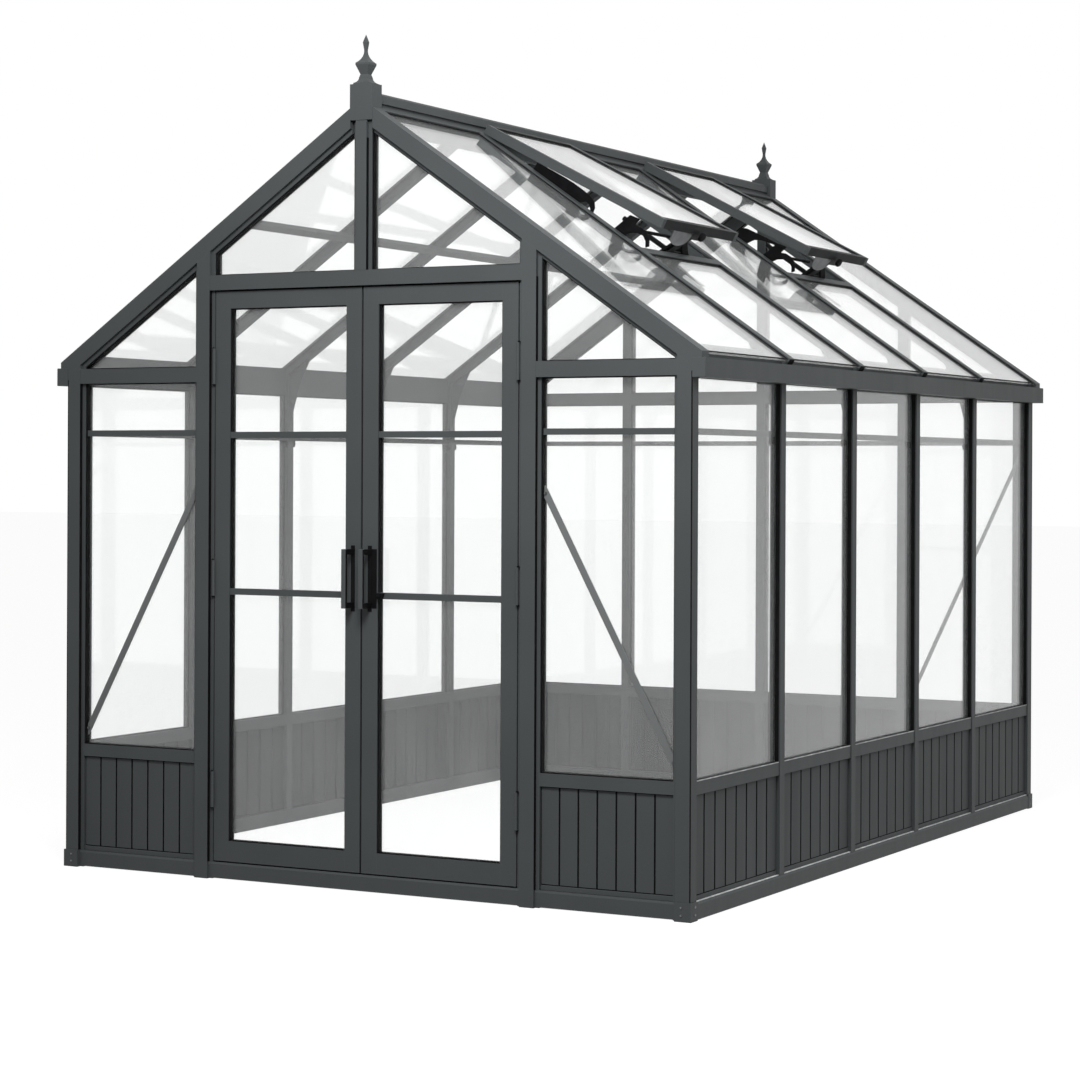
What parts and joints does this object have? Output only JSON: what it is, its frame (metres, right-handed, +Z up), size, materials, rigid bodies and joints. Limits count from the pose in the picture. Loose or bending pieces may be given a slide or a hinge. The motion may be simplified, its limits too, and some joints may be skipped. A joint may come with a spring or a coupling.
{
  "type": "greenhouse",
  "caption": "Gabled glass greenhouse with a slotted metal frame, board-look skirting, hinged double doors, open roof windows, gutters and ridge finials.",
  "frame": {"origin": "on the ground in the middle of the plan", "axes": "+X across the gables, to the right as seen from the doors; +Y from the door gable to the back gable; +Z up"},
  "size_m": [2.476, 3.327, 2.7949],
  "materials": {
    "frame": "satin powder coat",
    "skirting": "satin powder coat",
    "glass": "clear",
    "handle": "satin black"
  },
  "bodies": {
    "frame": {"back_base_rails": "frame", "back_glass": "glass", "barge_rafters": "frame", "braces": "frame", "corner_feet": "frame", "corner_posts": "frame", "door_head": "frame", "door_post_hinges": "frame", "eave_rails": "frame", "finials": "frame", "front_base_rails": "frame", "front_glass": "glass", "gable_crossbars": "frame", "gable_mullion": "frame", "gable_posts": "frame", "gable_rails": "frame", "gable_sill_rails": "frame", "gable_skirting": "skirting", "gutters": "frame", "knee_gussets": "frame", "left_glass": "glass", "left_roof_bars": "frame", "left_roof_glass": "glass", "left_roof_tie": "frame", "opening_rails": "frame", "ridge_bar": "frame", "right_glass": "glass", "right_roof_bars": "frame", "right_roof_glass": "glass", "side_base_rails": "frame", "side_crossbars": "frame", "side_posts": "frame", "side_sill_rails": "frame", "side_skirting": "skirting", "window_glass": "glass", "window_openers": "frame", "window_rails": "frame", "window_stiles": "frame"},
    "left_door": {"left_door_glass": "glass", "left_door_handle": "handle", "left_door_hinges": "frame", "left_door_rails": "frame", "left_door_stiles": "frame"},
    "right_door": {"right_door_glass": "glass", "right_door_handle": "handle", "right_door_hinges": "frame", "right_door_rails": "frame", "right_door_stiles": "frame"}
  },
  "joints": [
    {"name": "left_door_hinge", "type": "hinge", "parent": "frame", "child": "left_door", "pos_m": [-0.58244, -1.6301, 1.01], "axis": [0, 0, -1], "range_deg": [0, 105]},
    {"name": "right_door_hinge", "type": "hinge", "parent": "frame", "child": "right_door", "pos_m": [0.58244, -1.6301, 1.01], "axis": [0, 0, 1], "range_deg": [0, 105]}
  ]
}
